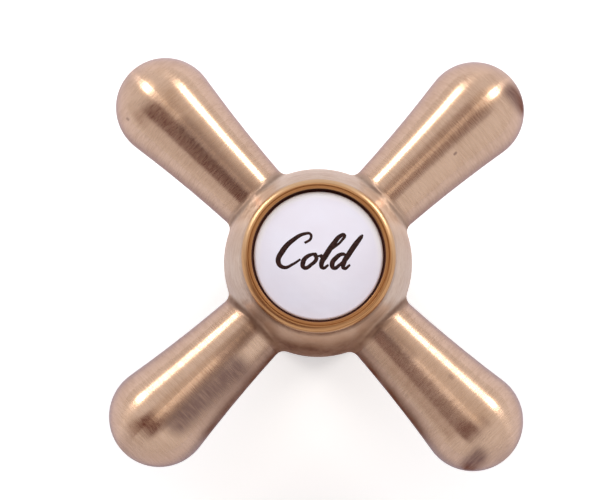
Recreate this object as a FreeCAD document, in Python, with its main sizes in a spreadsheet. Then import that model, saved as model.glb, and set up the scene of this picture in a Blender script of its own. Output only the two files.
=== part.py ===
"""Cross-head tap handle: a ball hub with four pear-shaped arms and a porcelain index.

The handle stands on its foot, with +Z up the valve's spindle and the origin at the middle of the foot.
Lengths are in millimetres. Every driving size is a cell of the sheet "Sizes".
"""

import FreeCAD, Part
import math
import os
from types import SimpleNamespace

import Sketcher

OUTPUT_FOLDER = "parts"
TOLERANCE = 1e-4

ARM_COUNT = 4
SERRATION_COUNT = 20

SIZES = {
    # the cross: a ball with arms that swell to a round bulb
    "span": 70,
    "arm_angle": 45,
    "arm_root_diameter": 9.3,
    "arm_root_depth": 2,
    "arm_flare_radius": 180,
    "arm_fillet": 1.3,
    "bulb_diameter": 13,
    "ball_height": 20.5,
    # the collar under the ball, which stands over the valve's gland
    "collar_step": 2.9,
    "collar_fillet": 1.5,
    "foot_step": 1,
    "foot_height": 2.8,
    "foot_round": 0.8,
    # the bores, from the foot upwards
    "recess_diameter": 14.4,
    "recess_depth": 5,
    "recess_chamfer": 0.5,
    "socket_diameter": 7.5,
    "socket_length": 7,
    "serration_depth": 0.4,
    "serration_width": 0.46,
    "relief_step": 0.85,
    "web_thickness": 2.5,
    "index_bore_depth": 7.5,
    # the porcelain disc, which sets the widths of all that holds it
    "disc_diameter": 16.4,
    "disc_edge_height": 0.95,
    "disc_thickness": 2.1,
    "disc_crown": 0.6,
    "disc_round": 0.3,
    # the seal between the porcelain and the bezel
    "seal_section": 0.7,
    "seal_height": 0.45,
    # the bezel, a turned cap that screws into the top of the ball
    "bezel_rise": 7.25,
    "bezel_height": 1.7,
    "bezel_land": 1.3,
    "bezel_round": 0.75,
    "bezel_seam_round": 0.2,
    "bezel_seat": 0.7,
    "bezel_floor": 1,
    "lip_gap": 0.3,
    "lip_chamfer": 0.12,
    "turned_line_depth": 0.08,
    "turned_line_gap": 0.12,
    "thread_step": 1.6,
    "spigot_length": 5.2,
    "spigot_wall": 1.5,
    # the fixing screw
    "screw_diameter": 5,
    "screw_length": 8,
    "screw_head_diameter": 8.5,
    "screw_head_height": 3.2,
    "screw_head_round": 0.8,
    "screw_slot_width": 1.2,
    "screw_slot_depth": 1.4,
    "screw_tip_chamfer": 0.6,
    # clearances, each on the radius
    "screw_clearance": 0.15,
    "thread_clearance": 0.03,
    "cup_clearance": 0.05,
    "seal_clearance": 0.02,
}


class Length:
    """A length as a number, with the expression over the sheet that gives it."""

    def __init__(self, number, text):
        self.number = number
        self.text = text

    def __add__(self, other):
        return Length(self.number + other.number, f"({self.text} + {other.text})")

    def __sub__(self, other):
        return Length(self.number - other.number, f"({self.text} - {other.text})")

    def __neg__(self):
        return Length(-self.number, f"(-{self.text})")

    def __truediv__(self, divisor):
        return Length(self.number / divisor, f"({self.text} / {divisor})")


def slant_side(first_leg, second_leg):
    """The slant side of a right triangle."""
    number = math.hypot(first_leg.number, second_leg.number)
    return Length(number, f"sqrt({first_leg.text} ^ 2 + {second_leg.text} ^ 2)")


def other_leg(slant, leg):
    """The second leg of a right triangle, from its slant side and first leg."""
    number = math.sqrt(slant.number**2 - leg.number**2)
    return Length(number, f"sqrt({slant.text} ^ 2 - {leg.text} ^ 2)")


def radius_of_crown(half_width, rise):
    """Radius of the arc that rises by this much over this half width."""
    number = (half_width.number**2 + rise.number**2) / (2 * rise.number)
    return Length(number, f"(({half_width.text} ^ 2 + {rise.text} ^ 2) / (2 * {rise.text}))")


ZERO = Length(0, "0")
size = SimpleNamespace(**{alias: Length(number, f"Sizes.{alias}") for alias, number in SIZES.items()})

# distances from the axis, worked out from the driving sizes
disc_radius = size.disc_diameter / 2
seal_inside = disc_radius + size.seal_clearance
seal_outside = seal_inside + size.seal_section
lip_radius = disc_radius + size.lip_gap
bezel_radius = lip_radius + size.bezel_land
cup_radius = bezel_radius - size.bezel_seat
thread_radius = cup_radius - size.thread_step
ball_radius = slant_side(size.bezel_rise, bezel_radius)
arm_start = ball_radius - size.arm_root_depth
arm_tip = size.span / 2
arm_root_radius = size.arm_root_diameter / 2
bulb_radius = size.bulb_diameter / 2
collar_radius = ball_radius - size.collar_step
foot_radius = collar_radius + size.foot_step
recess_radius = size.recess_diameter / 2
socket_radius = size.socket_diameter / 2
relief_radius = socket_radius + size.relief_step
screw_radius = size.screw_diameter / 2
screw_hole_radius = screw_radius + size.screw_clearance
screw_head_radius = size.screw_head_diameter / 2

# heights above the foot
collar_top = size.ball_height - other_leg(ball_radius, collar_radius)
rim = size.ball_height + size.bezel_rise
socket_top = size.recess_depth + size.socket_length
web_top = rim - size.index_bore_depth
web_bottom = web_top - size.web_thickness
lip = rim + size.bezel_height
disc_edge = rim + size.disc_edge_height
disc_seat = disc_edge - size.disc_thickness
cup_bottom = disc_seat - size.bezel_floor
spigot_bottom = rim - size.spigot_length
seal_middle = rim + size.seal_height

doc = FreeCAD.newDocument("tap_handle")
sheet = doc.addObject("Spreadsheet::Sheet", "Sizes")
for row, (alias, number) in enumerate(SIZES.items(), start=1):
    sheet.set(f"A{row}", alias)
    sheet.set(f"B{row}", str(number))
    sheet.setAlias(f"B{row}", alias)
doc.recompute()


def new_body(label):
    body = doc.addObject("PartDesign::Body", label)
    body.Label = label
    return body


def origin(body, role):
    return next(item for item in body.Origin.OriginFeatures if item.Role == role)


def new_sketch(body, name, plane):
    sketch = body.newObject("Sketcher::SketchObject", name)
    sketch.AttachmentSupport = (origin(body, plane), "")
    sketch.MapMode = "FlatFace"
    return sketch


def place_point(sketch, edge, end, across, up):
    """Holds one end of an edge at a distance across and up from the sketch's origin."""
    for kind, length, axis in (("DistanceX", across, -2), ("DistanceY", up, -1)):
        if length is ZERO:
            sketch.addConstraint(Sketcher.Constraint("PointOnObject", edge, end, axis))
            continue
        index = sketch.addConstraint(Sketcher.Constraint(kind, -1, 1, edge, end, length.number))
        sketch.setExpression(f"Constraints[{index}]", length.text)


def set_radius(sketch, edge, radius):
    index = sketch.addConstraint(Sketcher.Constraint("Radius", edge, radius.number))
    sketch.setExpression(f"Constraints[{index}]", radius.text)


def join_ends(sketch, first, first_end, second, second_end, kind="Coincident"):
    sketch.addConstraint(Sketcher.Constraint(kind, first, first_end, second, second_end))


def arc_about(centre, radius, start, end):
    """The arc that runs anticlockwise about a centre from start to end."""
    angles = [math.atan2(point.y - centre.y, point.x - centre.x) for point in (start, end)]
    return Part.ArcOfCircle(Part.Circle(centre, FreeCAD.Vector(0, 0, 1), radius), *angles)


def arc_between(start, end, radius):
    """The arc that runs anticlockwise from start to end, less than half a turn."""
    chord = end - start
    left = FreeCAD.Vector(-chord.y, chord.x, 0).normalize()
    centre = (start + end) / 2 + left * math.sqrt(radius**2 - (chord.Length / 2) ** 2)
    return arc_about(centre, radius, start, end)


def closed_outline(sketch, corners, arcs=None):
    """Draws a closed outline through corners, each a pair of lengths.

    arcs maps a corner's number to the radius of an arc that runs anticlockwise from it to the next.
    """
    arcs = arcs or {}
    points = [FreeCAD.Vector(across.number, up.number, 0) for across, up in corners]
    count = len(points)
    for number, point in enumerate(points):
        following = points[(number + 1) % count]
        if number in arcs:
            sketch.addGeometry(arc_between(point, following, arcs[number].number))
            set_radius(sketch, number, arcs[number])
        else:
            sketch.addGeometry(Part.LineSegment(point, following))
    for number, (across, up) in enumerate(corners):
        join_ends(sketch, number, 2, (number + 1) % count, 1)
        place_point(sketch, number, 1, across, up)


def turned(body, kind, name, corners, arcs=None):
    """A half-section in the XZ plane turned about Z: a Revolution adds it and a Groove cuts it."""
    sketch = new_sketch(body, f"{name}_section", "XZ_Plane")
    closed_outline(sketch, corners, arcs)
    feature = body.newObject(f"PartDesign::{kind}", name)
    feature.Profile = sketch
    feature.ReferenceAxis = (sketch, ["V_Axis"])
    feature.Angle = 360
    doc.recompute()


def polar_pattern(body, feature, name, count):
    """Repeats a feature evenly round Z."""
    pattern = body.newObject("PartDesign::PolarPattern", name)
    pattern.Originals = [feature]
    pattern.Axis = (origin(body, "Z_Axis"), [""])
    pattern.Angle = 360
    pattern.Occurrences = count
    body.Tip = pattern
    doc.recompute()


def edges_where(body, test):
    """Names of the edges of the body's last feature that pass a test, without those at a pole."""
    named = [(f"Edge{number}", edge) for number, edge in enumerate(body.Tip.Shape.Edges, start=1)]
    return [name for name, edge in named if not edge.Degenerated and test(edge)]


def ring_edges(body, radius, height):
    """Names of the circles about Z with this radius and height."""

    def test(edge):
        if not isinstance(edge.Curve, Part.Circle):
            return False
        middle = edge.Curve.Center
        misses = (
            edge.Curve.Radius - radius.number,
            math.hypot(middle.x, middle.y),
            middle.z - height.number,
        )
        return max(abs(miss) for miss in misses) < TOLERANCE

    return edges_where(body, test)


def arm_root_edges(body):
    """Names of the edges where the arms leave the ball."""
    middle = FreeCAD.Vector(0, 0, size.ball_height.number)

    def test(edge):
        offsets = [point - middle for point in edge.discretize(9)]
        on_ball = all(abs(offset.Length - ball_radius.number) < TOLERANCE for offset in offsets)
        return on_ball and all(abs(offset.z) < bulb_radius.number for offset in offsets)

    return edges_where(body, test)


def dress(body, kind, name, edges, length):
    """A Fillet or a Chamfer on the named edges of the body's last feature."""
    if not edges:
        raise RuntimeError(f"{name}: the edges to dress are missing")
    base = body.Tip
    feature = body.newObject(f"PartDesign::{kind}", name)
    feature.Base = (base, edges)
    feature.setExpression("Radius" if kind == "Fillet" else "Size", length.text)
    body.Tip = feature
    doc.recompute()


def arm_section(body):
    """Half-section of an arm along +X: a long hollow flare that runs into the round bulb."""
    start = FreeCAD.Vector(arm_start.number, 0, 0)
    root = FreeCAD.Vector(arm_start.number, arm_root_radius.number, 0)
    tip = FreeCAD.Vector(arm_tip.number, 0, 0)
    bulb_centre = tip - FreeCAD.Vector(bulb_radius.number, 0, 0)
    # the flare passes through the root and touches the bulb from outside
    flare_radius = size.arm_flare_radius.number
    to_bulb = bulb_centre - root
    between_centres = flare_radius + bulb_radius.number
    cosine = flare_radius**2 + to_bulb.Length**2 - between_centres**2
    cosine /= 2 * flare_radius * to_bulb.Length
    heading = math.atan2(to_bulb.y, to_bulb.x) + math.acos(cosine)
    flare_centre = root + FreeCAD.Vector(math.cos(heading), math.sin(heading), 0) * flare_radius
    join = bulb_centre + (flare_centre - bulb_centre).normalize() * bulb_radius.number

    sketch = new_sketch(body, "arm_section", "XZ_Plane")
    sketch.setExpression("AttachmentOffset.Base.y", size.ball_height.text)
    axis_line = sketch.addGeometry(Part.LineSegment(tip, start))
    end_line = sketch.addGeometry(Part.LineSegment(start, root))
    flare = sketch.addGeometry(arc_about(flare_centre, flare_radius, root, join))
    bulb = sketch.addGeometry(arc_about(bulb_centre, bulb_radius.number, tip, join))
    join_ends(sketch, axis_line, 2, end_line, 1)
    join_ends(sketch, end_line, 2, flare, 1)
    join_ends(sketch, flare, 2, bulb, 2, "Tangent")
    join_ends(sketch, bulb, 1, axis_line, 1)
    place_point(sketch, axis_line, 1, arm_tip, ZERO)
    place_point(sketch, axis_line, 2, arm_start, ZERO)
    place_point(sketch, end_line, 2, arm_start, arm_root_radius)
    set_radius(sketch, flare, size.arm_flare_radius)
    set_radius(sketch, bulb, bulb_radius)
    sketch.addConstraint(Sketcher.Constraint("PointOnObject", bulb, 3, -1))
    return sketch


def add_arms(body):
    """One arm turned about its own axis, repeated round the hub, with a fillet at each root."""
    sketch = arm_section(body)
    arm = body.newObject("PartDesign::Revolution", "arm")
    arm.Profile = sketch
    arm.ReferenceAxis = (sketch, ["H_Axis"])
    arm.Angle = 360
    doc.recompute()
    polar_pattern(body, arm, "arms", ARM_COUNT)
    dress(body, "Fillet", "arm_fillets", arm_root_edges(body), size.arm_fillet)


def cut_serrations(body):
    """V-shaped serrations broached up the wall of the spindle's socket."""
    sketch = new_sketch(body, "serration_section", "XY_Plane")
    sketch.setExpression("AttachmentOffset.Base.z", size.recess_depth.text)
    notch = [
        (socket_radius - size.serration_depth, size.serration_width),
        (socket_radius - size.serration_depth, -size.serration_width),
        (socket_radius + size.serration_depth, ZERO),
    ]
    closed_outline(sketch, notch)
    serration = body.newObject("PartDesign::Pocket", "serration")
    serration.Profile = sketch
    serration.Reversed = True
    serration.setExpression("Length", size.socket_length.text)
    doc.recompute()
    polar_pattern(body, serration, "serrations", SERRATION_COUNT)


def make_cross_body():
    """The hub and arms, one forging, with the stepped bore for the spindle and the index."""
    body = new_body("cross_body")
    hub = [
        (ZERO, ZERO),
        (foot_radius, ZERO),
        (foot_radius, size.foot_height),
        (collar_radius, size.foot_height + size.foot_step),
        (collar_radius, collar_top),
        (bezel_radius, rim),
        (ZERO, rim),
    ]
    turned(body, "Revolution", "hub", hub, {4: ball_radius})
    add_arms(body)
    dress(body, "Fillet", "collar_fillet", ring_edges(body, collar_radius, collar_top), size.collar_fillet)
    foot_edges = ring_edges(body, foot_radius, ZERO) + ring_edges(body, foot_radius, size.foot_height)
    dress(body, "Fillet", "foot_rounds", foot_edges, size.foot_round)
    bore = [
        (ZERO, ZERO),
        (recess_radius, ZERO),
        (recess_radius, size.recess_depth),
        (socket_radius, size.recess_depth),
        (socket_radius, socket_top),
        (relief_radius, socket_top),
        (relief_radius, web_bottom),
        (screw_hole_radius, web_bottom),
        (screw_hole_radius, web_top),
        (thread_radius, web_top),
        (thread_radius, cup_bottom),
        (cup_radius + size.cup_clearance, cup_bottom),
        (cup_radius + size.cup_clearance, rim),
        (ZERO, rim),
    ]
    turned(body, "Groove", "stepped_bore", bore)
    dress(body, "Chamfer", "recess_chamfer", ring_edges(body, recess_radius, ZERO), size.recess_chamfer)
    cut_serrations(body)
    body.Placement.Rotation = FreeCAD.Rotation(FreeCAD.Vector(0, 0, 1), size.arm_angle.number)
    body.setExpression("Placement.Rotation.Angle", size.arm_angle.text)
    return body


def make_index_bezel():
    """The turned cap: a cup for the porcelain, a rounded rim, and a spigot for the thread."""
    body = new_body("index_bezel")
    spigot_radius = thread_radius - size.thread_clearance
    spigot_bore = thread_radius - size.spigot_wall
    groove_half = size.seal_section / 2 + size.seal_clearance
    groove_wall = seal_outside + size.seal_clearance
    section = [
        (ZERO, cup_bottom),
        (spigot_bore, cup_bottom),
        (spigot_bore, spigot_bottom),
        (spigot_radius, spigot_bottom),
        (spigot_radius, cup_bottom),
        (cup_radius, cup_bottom),
        (cup_radius, rim),
        (bezel_radius, rim),
        (bezel_radius, lip),
        (lip_radius, lip),
        (lip_radius, seal_middle + groove_half),
        (groove_wall, seal_middle + groove_half),
        (groove_wall, seal_middle - groove_half),
        (lip_radius, seal_middle - groove_half),
        (lip_radius, disc_seat),
        (ZERO, disc_seat),
    ]
    turned(body, "Revolution", "cap", section)
    line_radius = bezel_radius - size.bezel_round - size.turned_line_gap
    line = [
        (line_radius - size.turned_line_depth, lip),
        (line_radius, lip - size.turned_line_depth),
        (line_radius + size.turned_line_depth, lip),
    ]
    turned(body, "Groove", "turned_line", line)
    dress(body, "Fillet", "rim_round", ring_edges(body, bezel_radius, lip), size.bezel_round)
    dress(body, "Fillet", "seam_round", ring_edges(body, bezel_radius, rim), size.bezel_seam_round)
    dress(body, "Chamfer", "lip_chamfer", ring_edges(body, lip_radius, lip), size.lip_chamfer)
    return body


def make_index_seal():
    """The rubber ring that grips the porcelain in the bezel."""
    seal = doc.addObject("Part::Torus", "index_seal")
    seal.Label = "index_seal"
    seal.setExpression("Radius1", (seal_inside + size.seal_section / 2).text)
    seal.setExpression("Radius2", (size.seal_section / 2).text)
    seal.setExpression("Placement.Base.z", seal_middle.text)
    doc.recompute()
    return seal


def make_index_disc():
    """The porcelain disc, gently crowned, with a rounded edge."""
    body = new_body("index_disc")
    section = [
        (ZERO, disc_seat),
        (disc_radius, disc_seat),
        (disc_radius, disc_edge),
        (ZERO, disc_edge + size.disc_crown),
    ]
    turned(body, "Revolution", "disc", section, {2: radius_of_crown(disc_radius, size.disc_crown)})
    dress(body, "Fillet", "edge_round", ring_edges(body, disc_radius, disc_edge), size.disc_round)
    return body


def make_fixing_screw():
    """The cheese-head screw that holds the handle on the spindle, seated on the web."""
    body = new_body("fixing_screw")
    head_top = web_top + size.screw_head_height
    tip = web_top - size.screw_length
    section = [
        (ZERO, tip),
        (screw_radius, tip),
        (screw_radius, web_top),
        (screw_head_radius, web_top),
        (screw_head_radius, head_top),
        (ZERO, head_top),
    ]
    turned(body, "Revolution", "blank", section)
    dress(body, "Fillet", "head_round", ring_edges(body, screw_head_radius, head_top), size.screw_head_round)
    dress(body, "Chamfer", "tip_chamfer", ring_edges(body, screw_radius, tip), size.screw_tip_chamfer)
    sketch = new_sketch(body, "slot_section", "XY_Plane")
    sketch.setExpression("AttachmentOffset.Base.z", head_top.text)
    reach = size.screw_head_diameter
    half_slot = size.screw_slot_width / 2
    corners = [(reach, -half_slot), (reach, half_slot), (-reach, half_slot), (-reach, -half_slot)]
    closed_outline(sketch, corners)
    slot = body.newObject("PartDesign::Pocket", "slot")
    slot.Profile = sketch
    slot.setExpression("Length", size.screw_slot_depth.text)
    doc.recompute()
    return body


def check(pieces):
    """Stops the build if an object failed or a piece isn't one sound solid."""
    for item in doc.Objects:
        if any(state in ("Invalid", "Error") for state in item.State):
            raise RuntimeError(f"{item.Label} failed: {item.State}")
    for piece in pieces:
        if piece.Shape.isNull() or not piece.Shape.isValid() or len(piece.Shape.Solids) != 1:
            raise RuntimeError(f"{piece.Label} isn't one valid solid")


def main():
    pieces = [
        make_cross_body(),
        make_index_bezel(),
        make_index_seal(),
        make_index_disc(),
        make_fixing_screw(),
    ]
    doc.recompute()
    check(pieces)
    os.makedirs(OUTPUT_FOLDER, exist_ok=True)
    for piece in pieces:
        piece.Shape.exportStep(os.path.join(OUTPUT_FOLDER, f"{piece.Label}.step"))
        print(f"{piece.Label}: {piece.Shape.Volume:.1f} mm3")


main()
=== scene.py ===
"""Looks of the cross-head tap handle: its finishes, the word on its index, the light and the camera.

The handle stands on its foot, with +Z up the valve's spindle and its front towards -Y. The scene is in
metres, and the sizes and places named for the handle are in mm. A pair of numbers named for a change is a
range: the change starts at the first number and is whole at the second.
"""

import math
from functools import partial, reduce
from types import SimpleNamespace

import bpy
from mathutils import Matrix, Vector

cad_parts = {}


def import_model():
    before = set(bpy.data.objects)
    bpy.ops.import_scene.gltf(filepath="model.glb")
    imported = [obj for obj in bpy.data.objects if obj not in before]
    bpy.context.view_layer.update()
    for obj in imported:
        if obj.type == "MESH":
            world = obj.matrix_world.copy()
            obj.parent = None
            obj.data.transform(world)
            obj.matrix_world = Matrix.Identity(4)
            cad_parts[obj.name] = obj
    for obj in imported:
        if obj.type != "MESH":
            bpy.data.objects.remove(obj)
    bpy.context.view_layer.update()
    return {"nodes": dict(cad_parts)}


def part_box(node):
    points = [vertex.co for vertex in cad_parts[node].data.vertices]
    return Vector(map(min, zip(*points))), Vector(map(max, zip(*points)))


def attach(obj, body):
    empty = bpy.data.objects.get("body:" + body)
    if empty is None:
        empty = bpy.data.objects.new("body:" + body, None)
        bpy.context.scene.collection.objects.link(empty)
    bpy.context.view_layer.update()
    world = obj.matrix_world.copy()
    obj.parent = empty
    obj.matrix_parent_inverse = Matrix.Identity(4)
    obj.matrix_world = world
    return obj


MM = 0.001

# sizes of the handle, in mm
BALL_HEIGHT = 20.5
BALL_RADIUS = 12.19
BULB_RADIUS = 6.5
BULB_REACH = 28.5
BEZEL_RADIUS = 9.8
DISC_RADIUS = 8.2
DISC_CROWN = 0.6

# the arms lie on the diagonals, so this share of a step along an arm falls on each of X and Y
DIAGONAL = math.sqrt(0.5)

# the camera, which looks down on the index from a little in front
PHOTO_WIDTH = 600
PHOTO_HEIGHT = 500
BALL_PIXEL = (318, 263)
MM_PER_PIXEL = 0.1297
CAMERA_DISTANCE = 0.32
CAMERA_NEAR_LIMIT = 0.01
CAMERA_LEAN = math.radians(6.8)
CAMERA_ROLL = math.radians(0.77)
SENSOR_WIDTH_MM = 36

# colours of the handle, in linear light
BRASS_TAN = (0.64, 0.44, 0.315, 1)
# the hub's painted shade in the lamps' band, its painted light beside it, and its painted shade in front
HUB_PAINTED_DIM = (0.72, 0.555, 0.435, 1)
HUB_PAINTED_LIGHT = (0.81, 0.66, 0.535, 1)
HUB_PAINTED_FRONT_SHADE = (0.56, 0.33, 0.195, 1)
BRASS_DEEP = (0.55, 0.365, 0.25, 1)
BRASS_EDGE = (0.80, 0.76, 0.82, 1)
# patina, which also colours the painted shade in front and beneath, and its colour at grazing angles
PATINA_AND_SHADE = (0.145, 0.056, 0.029, 1)
PATINA_AND_SHADE_EDGE = (0.40, 0.20, 0.14, 1)
# tarnish, which also colours the painted dark reflections on the arms
TARNISH_AND_SHADE = (0.12, 0.058, 0.053, 1)
GOLD = (0.58, 0.32, 0.145, 1)
# the bezel's painted light at the back, and its deep ring tone, also its painted shade on the inner land
GOLD_PAINTED_LIGHT = (0.57, 0.365, 0.205, 1)
GOLD_DEEP_AND_SHADE = (0.37, 0.17, 0.065, 1)
RUBBER = (0.06, 0.016, 0.013, 1)
GLAZE = (0.83, 0.83, 0.965, 1)
GLAZE_WARM = (0.815, 0.80, 0.925, 1)
# painted light along the back edge of the glaze, where the bezel's lip shades it
GLAZE_PAINTED_LIGHT = (0.97, 0.96, 1.0, 1)
INK = (0.022, 0.009, 0.008, 1)
INK_THIN = (0.045, 0.018, 0.015, 1)
STEEL = (0.52, 0.52, 0.51, 1)
STEEL_DARK = (0.34, 0.34, 0.34, 1)

# colours of the floor and the room, in linear light
FLOOR_WHITE = (0.85, 0.85, 0.87, 1)
FLOOR_IN_MIRRORS = (0.80, 0.95, 1.35, 1)
ROOM_PALE = (0.96, 0.95, 0.98, 1)
CEILING_SHADE = (0.80, 0.72, 0.66, 1)
OVERHEAD_SHADE = (0.12, 0.012, 0.002, 1)
LEFT_SHADE = (0.52, 0.43, 0.41, 1)
GLOW = (1.9, 1.68, 1.35, 1)
WHITE = (1, 1, 1, 1)

# most values of a noise lie in this range
NOISE_SPREAD = (0.3, 0.7)

# tarnish and painted dark reflections on top: the two ends of a stroke and its half width, in mm, and its
# depth
TARNISH_AND_SHADE_STROKES = [
    # a painted dark reflection along the front left arm
    ((-17.4, -21.2), (-10.2, -14.0), 2.5, 1.0),
    # tarnished smudges near the ends of the back right and front right arms
    ((24.7, 22.0), (26.2, 20.6), 2.0, 1.0),
    ((19.6, -26.0), (20.6, -25.0), 1.9, 1.0),
    # painted dark reflections on the back left arm and beside the roots of the front arms
    ((-9.4, 8.9), (-17.2, 16.7), 1.9, 0.62),
    ((-9.2, -9.6), (-12.0, -12.6), 1.4, 0.55),
    ((9.0, -9.4), (11.8, -12.2), 1.4, 0.5),
    # small dark specks
    ((17.3, 13.7), (17.5, 13.9), 0.24, 0.8),
    ((-24.9, 18.0), (-24.7, 17.8), 0.24, 0.6),
    ((16.9, -14.8), (17.1, -15.0), 0.5, 0.4),
]

# the share of a stroke's half width that has its full depth
STROKE_MIDDLE = 0.1

# the word on the index: its scale, slant, place and pen, in mm
WORD_SCALE = 0.96
WORD_SLANT = 0.58
WORD_LEFT = -6.05
WORD_BASE = -1.6
PEN_HALF_WIDTH = 0.29
PEN_ROUNDNESS = 3
PEN_STEPS = 10
INK_THICKNESS = 0.03

# the floor, its own light to the camera and to mirrors, and the room's light on matt surfaces
FLOOR_SIZE = 1.0
GLOW_TO_CAMERA = 0.50
GLOW_TO_MIRRORS = 0.24
FILL_FROM_FRONT = 0.08
FILL_FROM_BEHIND = 1.54
FRONT_TO_BACK = (-0.6, 0.7)

# the two lamps: degrees round from +X and from straight up, then their distance, width and radiance
LEFT_LAMP = (136, 58)
RIGHT_LAMP = (43, 56)
LAMP_DISTANCE = 0.6
LAMP_WIDTH = 0.17
LAMP_RADIANCE = 8.5

# soft glows in the room: place as for a lamp, radius in degrees and strength, and their edge in radii
BESIDE_CAMERA = (45, 2.5)
GLOWS = [
    (LEFT_LAMP, 14, 1.0),
    (RIGHT_LAMP, 14, 1.0),
    (BESIDE_CAMERA, 7, 0.5),
]
GLOW_EDGE = (1.4, 0.4)

# shade cards in the room: middle and end, in degrees right and back from straight up, and half width
LEFT_CARD = ((-48, -24), (-72, -38), 14)
CEILING_CARD = ((12.0, 12.0), (26.2, 26.2), 20)
OVERHEAD_LEFT_CARD = ((-18.4, -22.6), (-32.8, -37.0), 22)
OVERHEAD_RIGHT_CARD = ((13.4, -16.3), (-2.1, -31.8), 13)
OVERHEAD_RIGHT_DEPTH = 0.55

# a card's soft edge and round corners, in half widths, and the side of the room that it is on, as a cosine
CARD_EDGE = (1.3, 0.7)
CARD_CORNER = 0.4
CARD_SIDE = (0.2, 0.4)


class Graph:
    """A node tree, with one short call for each kind of node used here."""

    def __init__(self, tree):
        self.tree = tree

    def add(self, kind, inputs=None, **settings):
        node = self.tree.nodes.new(f"ShaderNode{kind}")
        for name, value in settings.items():
            setattr(node, name, value)
        for key, value in (inputs or {}).items():
            self.feed(node.inputs[key], value)
        return node

    def feed(self, socket, value):
        if isinstance(value, bpy.types.NodeSocket):
            self.tree.links.new(value, socket)
        else:
            socket.default_value = value

    def math(self, operation, *values):
        return self.add("Math", dict(enumerate(values)), operation=operation).outputs[0]

    def product(self, *values):
        return reduce(partial(self.math, "MULTIPLY"), values)

    def greatest(self, *values):
        return reduce(partial(self.math, "MAXIMUM"), values)

    def vector(self, operation, *values):
        node = self.add("VectorMath", dict(enumerate(values)), operation=operation)
        is_number = operation in ("LENGTH", "DISTANCE", "DOT_PRODUCT")
        return node.outputs["Value" if is_number else "Vector"]

    def split(self, vector):
        return tuple(self.add("SeparateXYZ", {0: vector}).outputs)

    def join(self, x, y, z):
        return self.add("CombineXYZ", {0: x, 1: y, 2: z}).outputs[0]

    def step(self, value, low, high, start=0.0, end=1.0):
        """Goes smoothly from start to end as the value goes from low to high."""
        inputs = {"Value": value, "From Min": low, "From Max": high, "To Min": start, "To Max": end}
        return self.add("MapRange", inputs, interpolation_type="SMOOTHSTEP").outputs["Result"]

    def noise(self, vector, scale=1.0, detail=3.0):
        return self.add("TexNoise", {"Vector": vector, "Scale": scale, "Detail": detail}).outputs[0]

    def blend(self, share, first, second):
        return self.add("Mix", {0: share, 2: first, 3: second}).outputs[0]

    def colour(self, share, first, second):
        return self.add("Mix", {0: share, 6: first, 7: second}, data_type="RGBA").outputs[2]

    def direction(self, share, first, second):
        return self.add("Mix", {0: share, 4: first, 5: second}, data_type="VECTOR").outputs[1]

    def bump(self, height, depth_mm):
        return self.add("Bump", {"Height": height, "Distance": depth_mm * MM, "Strength": 1.0}).outputs[0]

    def mirrored(self):
        """One for what is seen in a mirror or through glass, and zero for the rest."""
        path = self.add("LightPath").outputs
        return self.greatest(path["Is Glossy Ray"], path["Is Transmission Ray"])

    def seen_directly(self):
        """One for what the camera sees, also in a mirror or through glass, and zero for matt light."""
        path = self.add("LightPath").outputs
        return self.greatest(path["Is Camera Ray"], self.mirrored())

    def place_mm(self):
        """The point's place in the handle's frame, in mm."""
        place = self.add("TexCoord").outputs["Object"]
        return self.vector("MULTIPLY", place, (1 / MM, 1 / MM, 1 / MM))


class Finish(Graph):
    """A material with a Principled shader, its constants set on the shader's own sockets."""

    def __init__(self, name, **constants):
        self.material = bpy.data.materials.new(name)
        self.material.use_nodes = True
        super().__init__(self.material.node_tree)
        self.shader = self.tree.nodes["Principled BSDF"]
        for socket, value in constants.items():
            self.set(socket.replace("_", " "), value)

    def set(self, socket, value):
        self.feed(self.shader.inputs[socket], value)


def body_places(finish):
    """Where a point of the brass body lies, in mm, and whether that is on an arm or on the hub.

    The hub is the ball and all that lies below the arms.
    """
    leaves_ball = (BALL_RADIUS + 0.2, BALL_RADIUS + 1.0)
    leaves_collar = (BALL_HEIGHT - BULB_RADIUS - 0.6, BALL_HEIGHT - BULB_RADIUS)
    place = finish.place_mm()
    x, y, z = finish.split(place)
    reach_x = finish.math("ABSOLUTE", x)
    reach_y = finish.math("ABSOLUTE", y)
    up = finish.math("SUBTRACT", z, BALL_HEIGHT)
    plan = finish.join(x, y, 0.0)
    from_ball = finish.vector("LENGTH", finish.join(x, y, up))
    above_collar = finish.step(z, *leaves_collar)
    return SimpleNamespace(
        place=place,
        plan=plan,
        y=y,
        z=z,
        up=up,
        side_x=finish.math("SIGN", x),
        side_y=finish.math("SIGN", y),
        along=finish.product(finish.math("ADD", reach_x, reach_y), DIAGONAL),
        across=finish.product(finish.math("SUBTRACT", reach_x, reach_y), DIAGONAL),
        from_axis=finish.vector("LENGTH", plan),
        from_ball=from_ball,
        above_collar=above_collar,
        on_arm=finish.product(finish.step(from_ball, *leaves_ball), above_collar),
    )


def brass_noises(finish, body):
    """The brushed lines and hairs round each arm and the hub, and the grain and clouds of the metal.

    Each arm draws its own part of the noise. Scales are per mm, along, across and up where there are three.
    """
    arm_line_scale = (6.0, 0.45, 0.45)
    arm_hair_scale = (48.0, 0.8, 0.8)
    hub_line_scale = (0.5, 0.5, 6.0)
    grain_scale = 2.2
    cloud_scale = 0.35
    apart_x = 37.0
    apart_y = 91.0
    shift_x = finish.product(body.side_x, apart_x)
    shift_y = finish.product(body.side_y, apart_y)
    arm_shift = finish.math("ADD", shift_x, shift_y)
    arm_place = finish.join(body.along, finish.math("ADD", body.across, arm_shift), body.up)
    arm_lines = finish.vector("MULTIPLY", arm_place, arm_line_scale)
    hub_lines = finish.vector("MULTIPLY", body.place, hub_line_scale)
    return SimpleNamespace(
        lines=finish.noise(finish.direction(body.on_arm, hub_lines, arm_lines)),
        hairs=finish.noise(finish.vector("MULTIPLY", arm_place, arm_hair_scale), detail=2.0),
        grain=finish.noise(body.place, grain_scale),
        clouds=finish.noise(body.place, cloud_scale),
    )


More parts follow.
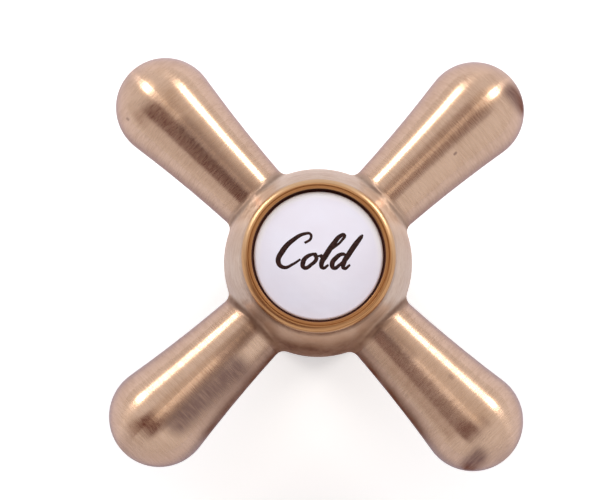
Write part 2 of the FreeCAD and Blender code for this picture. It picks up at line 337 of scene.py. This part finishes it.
def hollow_patina(finish, body):
    """Patina in the fillets at the arms' roots and in the hollow by the bezel, deepened in front as painted
    shade.
    """
    fillet_start = (BALL_RADIUS - 0.1, BALL_RADIUS + 0.25)
    fillet_end = (BALL_RADIUS + 0.25, BALL_RADIUS + 1.3)
    fillet_back_to_front = (5.0, -8.0)
    fillet_depths = (0.7, 0.95)
    rim = (BEZEL_RADIUS + 0.55, BEZEL_RADIUS)
    rim_height = (BALL_HEIGHT + 5.0, BALL_HEIGHT + 6.5)
    rim_back_to_front = (0.0, -9.0)
    rim_depths = (0.35, 0.8)
    # deeper at the front, as painted shade, in the fillets and by the bezel
    fillet_depth = finish.step(body.y, *fillet_back_to_front, *fillet_depths)
    in_fillet = finish.product(
        finish.step(body.from_ball, *fillet_start),
        finish.step(body.from_ball, *fillet_end, fillet_depth, 0.0),
        body.above_collar,
    )
    rim_depth = finish.step(body.y, *rim_back_to_front, *rim_depths)
    at_rim = finish.product(
        finish.step(body.from_axis, *rim, 0.0, rim_depth),
        finish.step(body.z, *rim_height),
    )
    return finish.greatest(in_fillet, at_rim)


def front_painted_shade(finish, body):
    """Painted shade on the front of the hub and of the front arms, away from the lamps, less on their
    bulbs.
    """
    bulb_start = (BULB_REACH - 4.0, BULB_REACH)
    share_on_bulb = 0.2
    turned_to_front = (-0.3, -0.7)
    below_top = (7.5, 3.5)
    near_front = (-5.0, -12.0)
    _, facing_back, _ = finish.split(finish.add("NewGeometry").outputs["Normal"])
    front_of_arm = finish.product(
        finish.step(body.along, *bulb_start, 1.0, share_on_bulb),
        finish.step(facing_back, *turned_to_front),
    )
    front_of_hub = finish.step(body.up, *below_top)
    front = finish.blend(body.on_arm, front_of_hub, front_of_arm)
    return finish.product(front, finish.step(body.y, *near_front))


def patina_and_shade_share(finish, body, clouds):
    """How much patina lies in the hollows and painted shade in front and beneath, broken up by clouds."""
    underside = (3.5, -1.5)
    underside_depth = 0.8
    cloud_range = (0.25, 0.75)
    cloud_depths = (0.6, 0.95)
    # painted shade beneath the ball and the arms
    beneath = finish.step(body.up, *underside, 0.0, underside_depth)
    patina_and_painted_shade = finish.greatest(hollow_patina(finish, body), beneath, front_painted_shade(finish, body))
    return finish.product(patina_and_painted_shade, finish.step(clouds, *cloud_range, *cloud_depths))


def soft_stroke(finish, plan, start, end, half_width, depth):
    """A stroke with soft edges from point to point, seen from above, in mm."""
    first = Vector((*start, 0.0))
    stroke = Vector((*end, 0.0)) - first
    from_first = finish.vector("SUBTRACT", plan, tuple(first))
    share = finish.vector("DOT_PRODUCT", from_first, tuple(stroke / stroke.length_squared))
    inside = finish.math("MINIMUM", finish.math("MAXIMUM", share, 0.0), 1.0)
    nearest = finish.vector("MULTIPLY", finish.join(inside, inside, inside), tuple(stroke))
    away = finish.vector("DISTANCE", from_first, nearest)
    return finish.step(away, half_width, STROKE_MIDDLE * half_width, 0.0, depth)


def tarnish_and_shade_share(finish, body, lines):
    """How much tarnish and painted dark reflection lie on the brass's top, in strokes the brushed lines
    break up.
    """
    upper_side = (0.0, 1.5)
    line_range = (0.3, 0.6)
    line_depths = (0.6, 0.85)
    strokes = [soft_stroke(finish, body.plan, *stroke) for stroke in TARNISH_AND_SHADE_STROKES]
    return finish.product(
        finish.greatest(*strokes),
        finish.step(body.up, *upper_side),
        finish.step(lines, *line_range, *line_depths),
    )


def brass_with_painted_hub_light(finish, body, noises):
    """Brushed tan arms, and a plainer hub with painted light and shade, warm in front."""
    lit_band = 5.0
    beside_lit_band = (2.0, 6.0)
    front_to_middle = (-11.5, -4.5)
    tone_range = (0.32, 0.62)
    least_on_hub = 0.45
    share_of_lines = 0.6
    # painted shade in the band where the lamps light the hub, and painted light beside it
    from_lit_band = finish.math("ABSOLUTE", finish.math("SUBTRACT", body.y, lit_band))
    painted_hub_light = finish.colour(finish.step(from_lit_band, *beside_lit_band), HUB_PAINTED_DIM, HUB_PAINTED_LIGHT)
    # painted shade, warm and darker, on the front of the hub
    hub = finish.colour(finish.step(body.y, *front_to_middle), HUB_PAINTED_FRONT_SHADE, painted_hub_light)
    bright = finish.colour(body.on_arm, hub, BRASS_TAN)
    tone = finish.blend(share_of_lines, noises.clouds, noises.lines)
    least = finish.step(body.on_arm, 0.0, 1.0, least_on_hub, 0.0)
    return finish.colour(finish.step(tone, *tone_range, least, 1.0), BRASS_DEEP, bright)


def brass_roughness(finish, body, noises, patina_and_shade):
    """Satin hairs on the arms, a little glossier on their bulbs, an even hub, and duller patina and shade.
    """
    hair_range = (0.45, 0.60)
    arm_roughness = (0.22, 0.38)
    hub_roughness = (0.28, 0.40)
    bulb_start = (BULB_REACH - 2.0, BULB_REACH + 2.0)
    share_on_bulb = 0.85
    patina_adds = 0.15
    on_bulb = finish.step(body.along, *bulb_start, 1.0, share_on_bulb)
    arm = finish.product(finish.step(noises.hairs, *hair_range, *arm_roughness), on_bulb)
    hub = finish.step(noises.grain, *NOISE_SPREAD, *hub_roughness)
    clean = finish.blend(body.on_arm, hub, arm)
    return finish.math("ADD", clean, finish.product(patina_and_shade, patina_adds))


def antique_brass():
    """Brass brushed round each arm and polished on the ball, patina in its hollows, painted light and
    shade.
    """
    relief_depth = 0.010
    finish = Finish(
        "antique_brass",
        Metallic=1.0,
        Anisotropic=0.94,
        Coat_Weight=0.12,
        Coat_Roughness=0.25,
    )
    body = body_places(finish)
    noises = brass_noises(finish, body)
    patina_and_shade = patina_and_shade_share(finish, body, noises.clouds)
    tarnish_and_shade = tarnish_and_shade_share(finish, body, noises.lines)
    # painted light and shade on the hub, and painted shade in front and beneath, over the brass
    aged = finish.colour(patina_and_shade, brass_with_painted_hub_light(finish, body, noises), PATINA_AND_SHADE)
    finish.set("Base Color", finish.colour(tarnish_and_shade, aged, TARNISH_AND_SHADE))
    # the metal's tint follows the patina, tarnish and the painted shade and reflections
    oxide_and_shade = finish.greatest(patina_and_shade, tarnish_and_shade)
    finish.set("Specular Tint", finish.colour(oxide_and_shade, BRASS_EDGE, PATINA_AND_SHADE_EDGE))
    finish.set("Roughness", brass_roughness(finish, body, noises, patina_and_shade))
    relief = finish.blend(body.on_arm, noises.grain, noises.lines)
    finish.set("Normal", finish.bump(relief, relief_depth))
    arm_x = finish.product(body.side_x, DIAGONAL)
    arm_y = finish.product(body.side_y, DIAGONAL)
    arm_axis = finish.join(arm_x, arm_y, 0.0)
    finish.set("Tangent", finish.direction(body.on_arm, (0, 0, 1), arm_axis))
    return finish.material


def polished_brass():
    """The bezel: yellow brass with lathe rings, painted shade on its inner land, painted light at its back.
    """
    ring_scale = (7.0, 7.0, 0.0)
    wander_scale = (0.15, 0.15, 0.0)
    ring_range = (0.35, 0.6)
    ring_depth = 0.008
    roughness = (0.38, 0.28)
    inner_land = (BEZEL_RADIUS - 0.65, BEZEL_RADIUS - 1.05)
    inner_land_depth = 0.7
    outer_rim = (BEZEL_RADIUS - 0.8, BEZEL_RADIUS - 0.4)
    rim_front_to_back = (-4.0, 4.0)
    finish = Finish("polished_brass", Metallic=1.0, Anisotropic=0.4)
    place = finish.place_mm()
    x, y, z = finish.split(place)
    plan = finish.join(x, y, 0.0)
    from_axis = finish.vector("LENGTH", plan)
    turned = finish.vector("MULTIPLY", finish.join(from_axis, z, 0.0), ring_scale)
    wander = finish.vector("MULTIPLY", place, wander_scale)
    rings = finish.noise(finish.vector("ADD", turned, wander))
    tone = finish.colour(finish.step(rings, *ring_range), GOLD_DEEP_AND_SHADE, GOLD)
    # painted light on the back of the rim
    at_rim = finish.product(finish.step(from_axis, *outer_rim), finish.step(y, *rim_front_to_back))
    tone = finish.colour(at_rim, tone, GOLD_PAINTED_LIGHT)
    # painted shade on the inner land
    painted_shade_on_land = finish.step(from_axis, *inner_land, 0.0, inner_land_depth)
    finish.set("Base Color", finish.colour(painted_shade_on_land, tone, GOLD_DEEP_AND_SHADE))
    finish.set("Roughness", finish.step(rings, *NOISE_SPREAD, *roughness))
    finish.set("Normal", finish.bump(rings, ring_depth))
    finish.set("Tangent", plan)
    return finish.material


def black_rubber():
    """The seal: matt rubber with a fine moulded grain."""
    grain_scale = 9.0
    grain_depth = 0.02
    roughness = (0.5, 0.75)
    finish = Finish("black_rubber", Base_Color=RUBBER, Specular_IOR_Level=0.15)
    grain = finish.noise(finish.place_mm(), grain_scale)
    finish.set("Roughness", finish.step(grain, *NOISE_SPREAD, *roughness))
    finish.set("Normal", finish.bump(grain, grain_depth))
    return finish.material


def porcelain():
    """White glaze over clay: a soft ripple, faint clouds, a deep gloss, and painted light at the back edge.
    """
    cloud_scale = 0.25
    ripple_scale = 0.6
    ripple_depth = 0.03
    roughness = (0.14, 0.2)
    edge = (DISC_RADIUS - 1.1, DISC_RADIUS - 0.2)
    edge_front_to_back = (-3.0, 2.0)
    finish = Finish("porcelain", IOR=1.52, Coat_Weight=0.5, Coat_Roughness=0.04)
    place = finish.place_mm()
    x, y, _ = finish.split(place)
    from_axis = finish.vector("LENGTH", finish.join(x, y, 0.0))
    clouds = finish.noise(place, cloud_scale, detail=2.0)
    ripple = finish.noise(place, ripple_scale, detail=1.0)
    glaze = finish.colour(finish.step(clouds, *NOISE_SPREAD), GLAZE_WARM, GLAZE)
    # painted light along the back edge
    painted_light_at_edge = finish.product(finish.step(from_axis, *edge), finish.step(y, *edge_front_to_back))
    finish.set("Base Color", finish.colour(painted_light_at_edge, glaze, GLAZE_PAINTED_LIGHT))
    finish.set("Roughness", finish.step(clouds, *NOISE_SPREAD, *roughness))
    finish.set("Normal", finish.bump(ripple, ripple_depth))
    return finish.material


def ink():
    """Dark brown enamel fired onto the glaze, a little uneven."""
    pool_scale = 2.5
    pool_range = (0.35, 0.7)
    pool_depth = 0.02
    finish = Finish("ink", Roughness=0.4, Specular_IOR_Level=0.1)
    pools = finish.noise(finish.place_mm(), pool_scale)
    finish.set("Base Color", finish.colour(finish.step(pools, *pool_range), INK, INK_THIN))
    finish.set("Normal", finish.bump(pools, pool_depth))
    return finish.material


def screw_steel():
    """The fixing screw: bright steel with turning marks and a few dull patches."""
    mark_scale = (0.4, 0.4, 9.0)
    mark_depth = 0.015
    patch_scale = 0.8
    patch_range = (0.4, 0.7)
    roughness = (0.25, 0.4)
    finish = Finish("screw_steel", Metallic=1.0, Anisotropic=0.5)
    place = finish.place_mm()
    marks = finish.noise(finish.vector("MULTIPLY", place, mark_scale), detail=2.0)
    patches = finish.noise(place, patch_scale)
    finish.set("Base Color", finish.colour(finish.step(patches, *patch_range), STEEL, STEEL_DARK))
    finish.set("Roughness", finish.step(marks, *NOISE_SPREAD, *roughness))
    finish.set("Normal", finish.bump(marks, mark_depth))
    return finish.material


def word_strokes():
    """The pen strokes of the word, upright: across, up and the pen's weight at each point."""
    letter_c = [
        (2.55, 3.25, 0.55), (3.0, 3.85, 0.6), (2.6, 4.45, 0.6), (1.9, 4.5, 0.7), (0.85, 3.7, 1.0),
        (0.3, 2.2, 1.25), (0.65, 0.65, 1.1), (1.75, 0.0, 0.8), (2.7, 0.45, 0.6), (3.3, 1.1, 0.5),
    ]
    letter_o = [
        (4.7, 1.85, 0.6), (4.0, 1.5, 0.9), (3.85, 0.75, 1.1), (4.4, 0.0, 0.9), (5.15, 0.45, 0.8),
        (5.3, 1.25, 0.9), (4.8, 1.8, 0.7), (5.2, 1.55, 0.5), (5.8, 1.7, 0.45),
    ]
    letter_l = [
        (5.75, 1.3, 0.45), (6.6, 2.5, 0.5), (7.2, 3.7, 0.6), (7.1, 4.4, 0.7), (6.7, 4.3, 0.9),
        (6.4, 3.2, 1.2), (6.3, 1.6, 1.25), (6.4, 0.5, 1.1), (6.85, 0.0, 0.8), (7.4, 0.4, 0.5),
    ]
    bowl_of_d = [
        (9.0, 1.65, 0.6), (8.4, 1.85, 0.8), (7.8, 1.3, 1.05), (7.8, 0.5, 1.1), (8.3, 0.0, 0.9),
        (8.85, 0.45, 0.7), (9.15, 1.3, 0.6),
    ]
    stem_of_d = [
        (9.5, 4.5, 0.3), (9.45, 4.2, 0.9), (9.3, 3.2, 1.2), (9.2, 1.8, 1.2), (9.25, 0.6, 1.1),
        (9.65, 0.0, 0.8), (10.2, 0.45, 0.5),
    ]
    return [letter_c, letter_o, letter_l, bowl_of_d, stem_of_d]


def flat_word():
    """A mesh of the word, written flat in slanted round pen strokes, in mm."""
    curve = bpy.data.curves.new("pen", "CURVE")
    curve.dimensions = "3D"
    curve.bevel_depth = PEN_HALF_WIDTH
    curve.bevel_resolution = PEN_ROUNDNESS
    curve.resolution_u = PEN_STEPS
    curve.use_fill_caps = True
    for stroke in word_strokes():
        spline = curve.splines.new("BEZIER")
        spline.bezier_points.add(len(stroke) - 1)
        for point, (across, up, weight) in zip(spline.bezier_points, stroke):
            slanted = WORD_LEFT + WORD_SCALE * (across + WORD_SLANT * up)
            point.co = (slanted, WORD_BASE + WORD_SCALE * up, 0)
            point.radius = weight
            point.handle_left_type = "AUTO"
            point.handle_right_type = "AUTO"
    pen = bpy.data.objects.new("pen", curve)
    bpy.context.scene.collection.objects.link(pen)
    bpy.context.view_layer.update()
    mesh = bpy.data.meshes.new_from_object(pen.evaluated_get(bpy.context.evaluated_depsgraph_get()))
    bpy.data.objects.remove(pen)
    bpy.data.curves.remove(curve)
    return mesh


def add_word(finish):
    """The word, laid thinly on the crown of the porcelain index."""
    mesh = flat_word()
    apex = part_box("index_disc")[1][2] / MM
    dome_radius = (DISC_RADIUS**2 + DISC_CROWN**2) / (2 * DISC_CROWN)
    for vertex in mesh.vertices:
        x, y, z = vertex.co
        dome = apex - dome_radius + math.sqrt(dome_radius**2 - x**2 - y**2)
        vertex.co = Vector((x, y, dome + z * INK_THICKNESS / PEN_HALF_WIDTH)) * MM
    mesh.shade_smooth()
    mesh.materials.append(finish)
    word = bpy.data.objects.new("index_word", mesh)
    bpy.context.scene.collection.objects.link(word)
    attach(word, "root")


def add_floor():
    """A white floor that shows the handle's shadow, and looks white in the metal too."""
    bpy.ops.mesh.primitive_plane_add(size=FLOOR_SIZE)
    floor = bpy.context.object
    floor.name = "floor"
    material = bpy.data.materials.new("floor_white")
    material.use_nodes = True
    material.node_tree.nodes.clear()
    graph = Graph(material.node_tree)
    matt = graph.add("BsdfDiffuse", {"Color": FLOOR_WHITE}).outputs[0]
    path = graph.add("LightPath").outputs
    mirrored = graph.mirrored()
    to_mirrors = graph.product(mirrored, GLOW_TO_MIRRORS)
    to_camera = graph.product(path["Is Camera Ray"], GLOW_TO_CAMERA)
    strength = graph.greatest(to_camera, to_mirrors)
    tint = graph.colour(mirrored, WHITE, FLOOR_IN_MIRRORS)
    own_light = graph.add("Emission", {"Color": tint, "Strength": strength}).outputs[0]
    surface = graph.add("AddShader", {0: matt, 1: own_light}).outputs[0]
    graph.add("OutputMaterial", {"Surface": surface})
    floor.data.materials.append(material)


def direction_from_zenith(right, back):
    """The direction that leans from straight up by these angles, in degrees, to +X and to +Y."""
    lean = math.radians(math.hypot(right, back))
    turn = math.atan2(back, right)
    return Vector((math.sin(lean) * math.cos(turn), math.sin(lean) * math.sin(turn), math.cos(lean)))


def direction_at(azimuth, zenith):
    """The direction with this azimuth from +X and this angle from straight up, in degrees."""
    turn = math.radians(azimuth)
    return direction_from_zenith(zenith * math.cos(turn), zenith * math.sin(turn))


def card(graph, towards, middle, end, half_width):
    """One where a soft-edged card hangs, from its middle, one end and half width in degrees."""
    centre = direction_from_zenith(*middle)
    length_way = direction_from_zenith(*end) - centre
    width_way = centre.cross(length_way).normalized() * math.sin(math.radians(half_width))
    from_centre = graph.vector("SUBTRACT", towards, tuple(centre))
    shares = []
    for way in (length_way, width_way):
        share = graph.vector("DOT_PRODUCT", from_centre, tuple(way / way.length_squared))
        shares.append(graph.math("ABSOLUTE", share))
    reach = graph.math("SMOOTH_MAX", *shares, CARD_CORNER)
    this_side = graph.step(graph.vector("DOT_PRODUCT", towards, tuple(centre)), *CARD_SIDE)
    return graph.product(graph.step(reach, *CARD_EDGE), this_side)


def glow(graph, towards, direction, radius):
    """One where a soft round glow hangs in this direction, its radius in degrees."""
    nearness = graph.vector("DOT_PRODUCT", towards, tuple(direction))
    edge, middle = (math.cos(math.radians(share * radius)) for share in GLOW_EDGE)
    return graph.step(nearness, edge, middle)


def light_room():
    """A pale room with soft shade cards on the left, above and on both sides of the camera, and glows.

    The room looks as bright as it is written, and lights matt surfaces mostly from behind.
    """
    world = bpy.data.worlds.new("room")
    bpy.context.scene.world = world
    world.use_nodes = True
    graph = Graph(world.node_tree)
    towards = graph.add("TexCoord").outputs["Generated"]
    _, back, _ = graph.split(towards)
    overhead_right = graph.product(card(graph, towards, *OVERHEAD_RIGHT_CARD), OVERHEAD_RIGHT_DEPTH)
    overhead = graph.greatest(card(graph, towards, *OVERHEAD_LEFT_CARD), overhead_right)
    room = graph.colour(card(graph, towards, *LEFT_CARD), ROOM_PALE, LEFT_SHADE)
    room = graph.colour(card(graph, towards, *CEILING_CARD), room, CEILING_SHADE)
    room = graph.colour(overhead, room, OVERHEAD_SHADE)
    for place, radius, strength in GLOWS:
        share = graph.product(glow(graph, towards, direction_at(*place), radius), strength)
        room = graph.colour(share, room, GLOW)
    fill = graph.step(back, *FRONT_TO_BACK, FILL_FROM_FRONT, FILL_FROM_BEHIND)
    background = world.node_tree.nodes["Background"]
    graph.feed(background.inputs["Color"], room)
    graph.feed(background.inputs["Strength"], graph.blend(graph.seen_directly(), fill, 1.0))


def add_softbox(name, towards):
    """A square lamp in this direction that faces the middle of the handle."""
    lamp = bpy.data.lights.new(name, "AREA")
    lamp.shape = "SQUARE"
    lamp.size = LAMP_WIDTH
    lamp.color = WHITE[:3]
    lamp.energy = LAMP_RADIANCE * math.pi * LAMP_WIDTH**2
    softbox = bpy.data.objects.new(name, lamp)
    bpy.context.scene.collection.objects.link(softbox)
    middle = Vector((0, 0, BALL_HEIGHT * MM))
    softbox.location = middle + towards * LAMP_DISTANCE
    softbox.rotation_euler = towards.to_track_quat("Z", "Y").to_euler()
    softbox.visible_camera = False


def add_lamps():
    """Two softboxes behind, to the left and right."""
    add_softbox("softbox_left", direction_at(*LEFT_LAMP))
    add_softbox("softbox_right", direction_at(*RIGHT_LAMP))


def add_camera():
    """Looks down on the handle so that the ball's middle falls on its pixel of the photograph."""
    ball_across, ball_down = BALL_PIXEL
    towards = Vector((0, -math.sin(CAMERA_LEAN), math.cos(CAMERA_LEAN)))
    up = Vector((0, math.cos(CAMERA_LEAN), math.sin(CAMERA_LEAN)))
    up.rotate(Matrix.Rotation(CAMERA_ROLL, 3, towards))
    right = up.cross(towards)
    off_centre = right * (PHOTO_WIDTH / 2 - ball_across) + up * (ball_down - PHOTO_HEIGHT / 2)
    aim = Vector((0, 0, BALL_HEIGHT * MM)) + off_centre * MM_PER_PIXEL * MM
    data = bpy.data.cameras.new("camera")
    data.sensor_width = SENSOR_WIDTH_MM
    data.lens = SENSOR_WIDTH_MM * CAMERA_DISTANCE / (PHOTO_WIDTH * MM_PER_PIXEL * MM)
    data.clip_start = CAMERA_NEAR_LIMIT
    camera = bpy.data.objects.new("camera", data)
    bpy.context.scene.collection.objects.link(camera)
    turn = Matrix((right, up, towards)).transposed().to_4x4()
    camera.matrix_world = Matrix.Translation(aim + towards * CAMERA_DISTANCE) @ turn
    bpy.context.scene.camera = camera


def main():
    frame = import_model()
    finishes = {
        "cross_body": antique_brass(),
        "index_bezel": polished_brass(),
        "index_seal": black_rubber(),
        "index_disc": porcelain(),
        "fixing_screw": screw_steel(),
    }
    for name, finish in finishes.items():
        frame["nodes"][name].material_slots[0].material = finish
    add_word(ink())
    add_floor()
    light_room()
    add_lamps()
    add_camera()
    bpy.context.scene.view_settings.view_transform = "Standard"


main()
